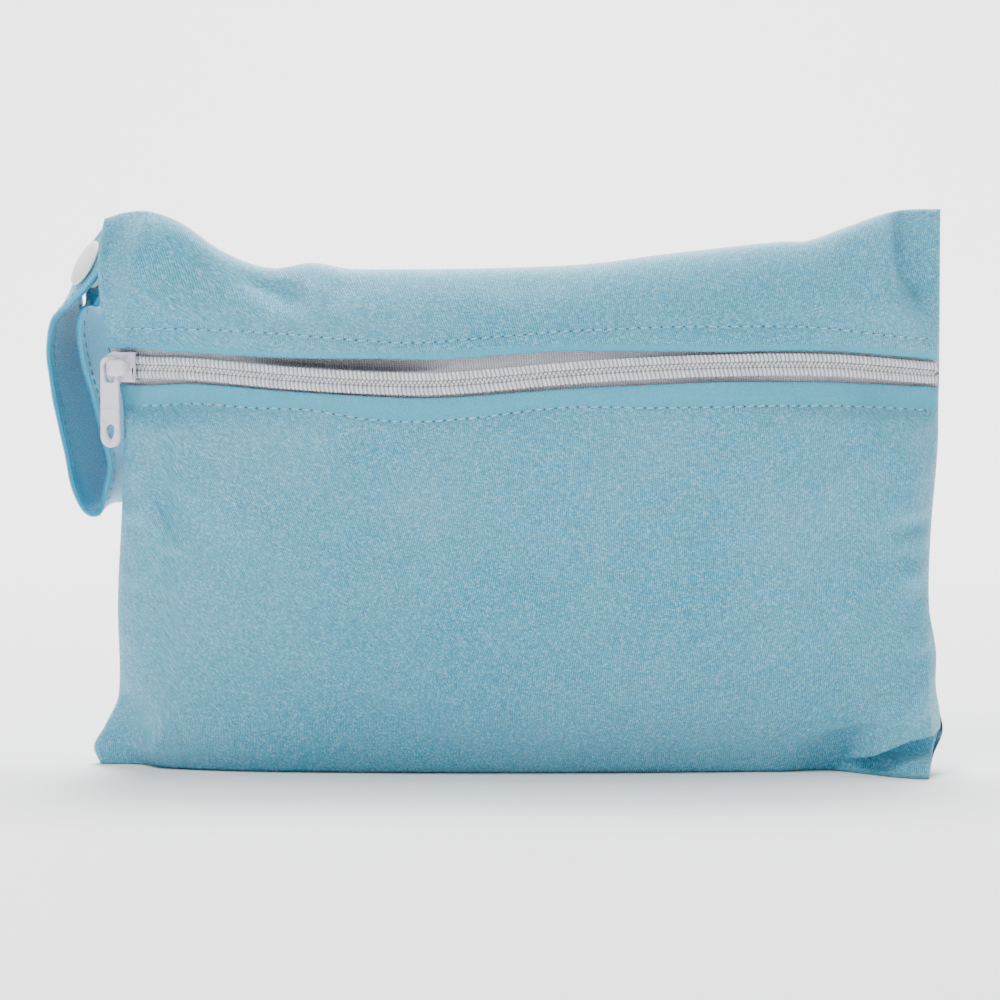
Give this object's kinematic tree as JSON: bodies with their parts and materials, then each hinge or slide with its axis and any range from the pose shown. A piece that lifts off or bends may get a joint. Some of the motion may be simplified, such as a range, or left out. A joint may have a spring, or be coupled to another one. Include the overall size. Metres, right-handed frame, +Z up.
{
  "type": "cloth wet bag",
  "caption": "Small stuffed cloth wet bag with a coil zip across its front and a snap strap loop at the side seam, standing on its flattened base.",
  "frame": {"origin": "on the ground under the middle of the bag, on the flattened base", "axes": "+X to the right along the zip as seen from the front, +Y to the back, +Z up; the front looks towards -Y"},
  "size_m": [0.2232, 0.0484, 0.1396],
  "materials": {
    "cloth": "soft brushed polyester knit with a slight sheen",
    "strap_cloth": "folded polyester knit, edge stitched",
    "zip_tape": "white woven polyester tape",
    "zip_coil": "white nylon coil",
    "slider_enamel": "white enamel on cast metal",
    "snap_plastic": "smooth glossy white plastic"
  },
  "bodies": {
    "bag": {"front_lower_panel": "cloth", "front_upper_panel": "cloth", "back_panel": "cloth", "zipper_tape_lower": "zip_tape", "zipper_tape_upper": "zip_tape", "zipper_coil_lower": "zip_coil", "zipper_coil_upper": "zip_coil", "slider": "slider_enamel", "strap": "strap_cloth", "snap_cap": "snap_plastic", "snap_core": "snap_plastic", "snap_back_cap": "snap_plastic"},
    "pull": {"pull_tab": "slider_enamel"}
  },
  "joints": [
    {"name": "pull_swing", "type": "hinge", "parent": "bag", "child": "pull", "pos_m": [-0.10357, -0.00481, 0.1004], "axis": [0.3499, 0.9368, 0], "range_deg": [-5, 60]}
  ]
}
